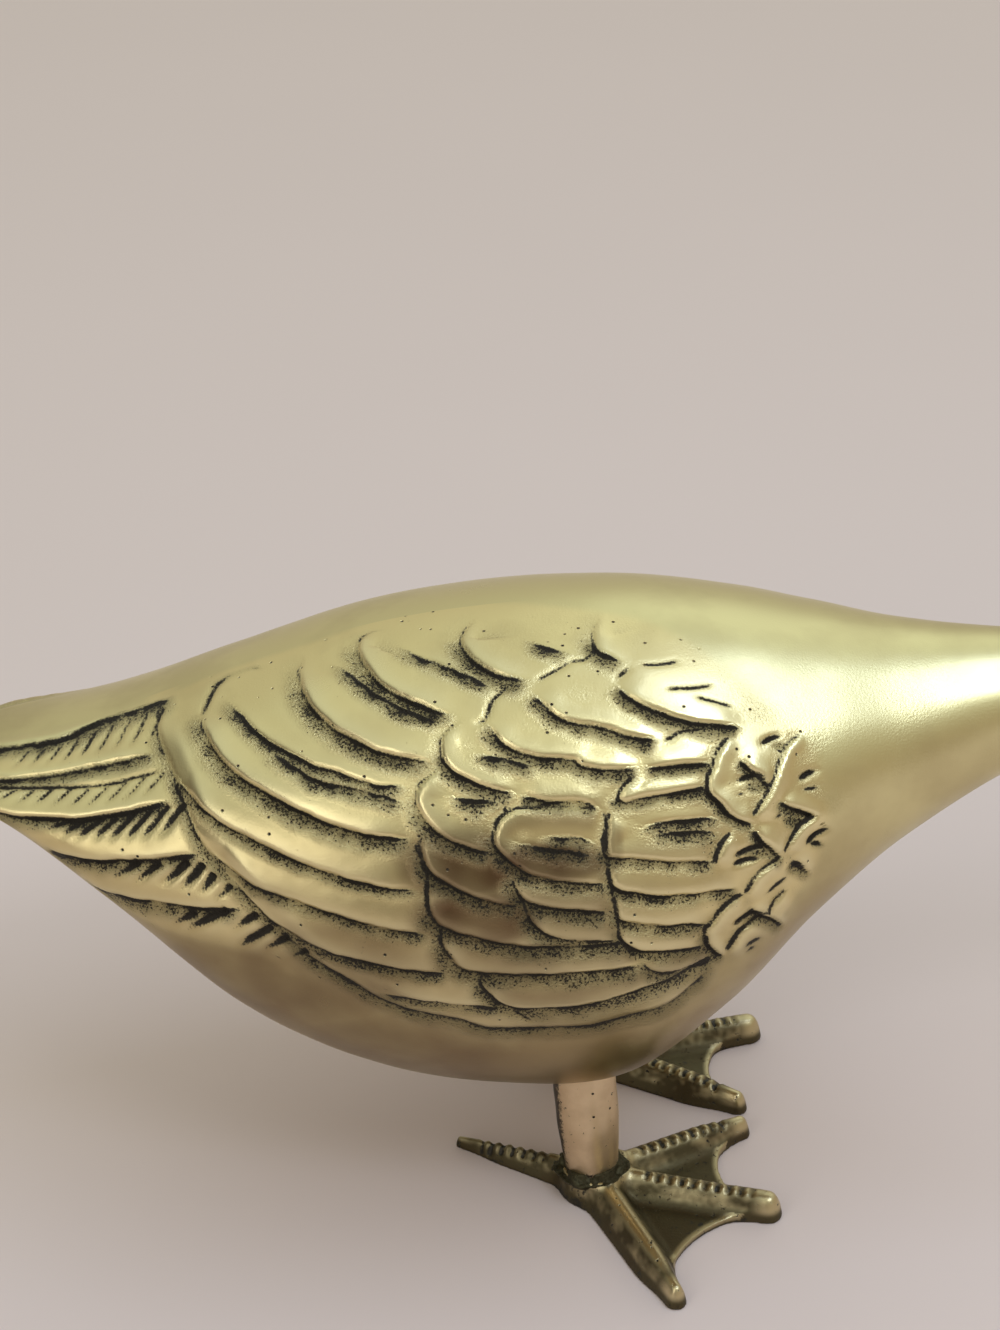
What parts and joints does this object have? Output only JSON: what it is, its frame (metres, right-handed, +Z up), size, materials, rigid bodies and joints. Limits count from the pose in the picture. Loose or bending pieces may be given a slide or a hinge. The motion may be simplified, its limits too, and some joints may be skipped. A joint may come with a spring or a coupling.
{
  "type": "goose figurine",
  "caption": "Hollow brass goose ornament standing on two webbed feet with its neck stretched forward, feathered wings and tail.",
  "frame": {"origin": "on the ground under the middle of the goose's length, halfway between its feet", "axes": "+X towards the bill, +Y towards the goose's left, +Z up from the soles"},
  "size_m": [0.31, 0.1152, 0.1319],
  "materials": {
    "cast_brass": "satin polished, with a dark patina in the hollows",
    "leg_brass": "dull, lightly pitted",
    "foot_brass": "tarnished casting, rubbed on the ridges",
    "braze_alloy": "rough, dark",
    "bush_brass": "machined",
    "stud_steel": "plain"
  },
  "bodies": {
    "root": {"right_body_shell": "cast_brass", "left_body_shell": "cast_brass", "seam_braze": "braze_alloy", "right_leg": "leg_brass", "left_leg": "leg_brass", "right_leg_stud": "stud_steel", "left_leg_stud": "stud_steel", "right_leg_bush": "bush_brass", "left_leg_bush": "bush_brass", "right_foot": "foot_brass", "left_foot": "foot_brass", "right_foot_braze": "braze_alloy", "left_foot_braze": "braze_alloy"}
  },
  "joints": []
}
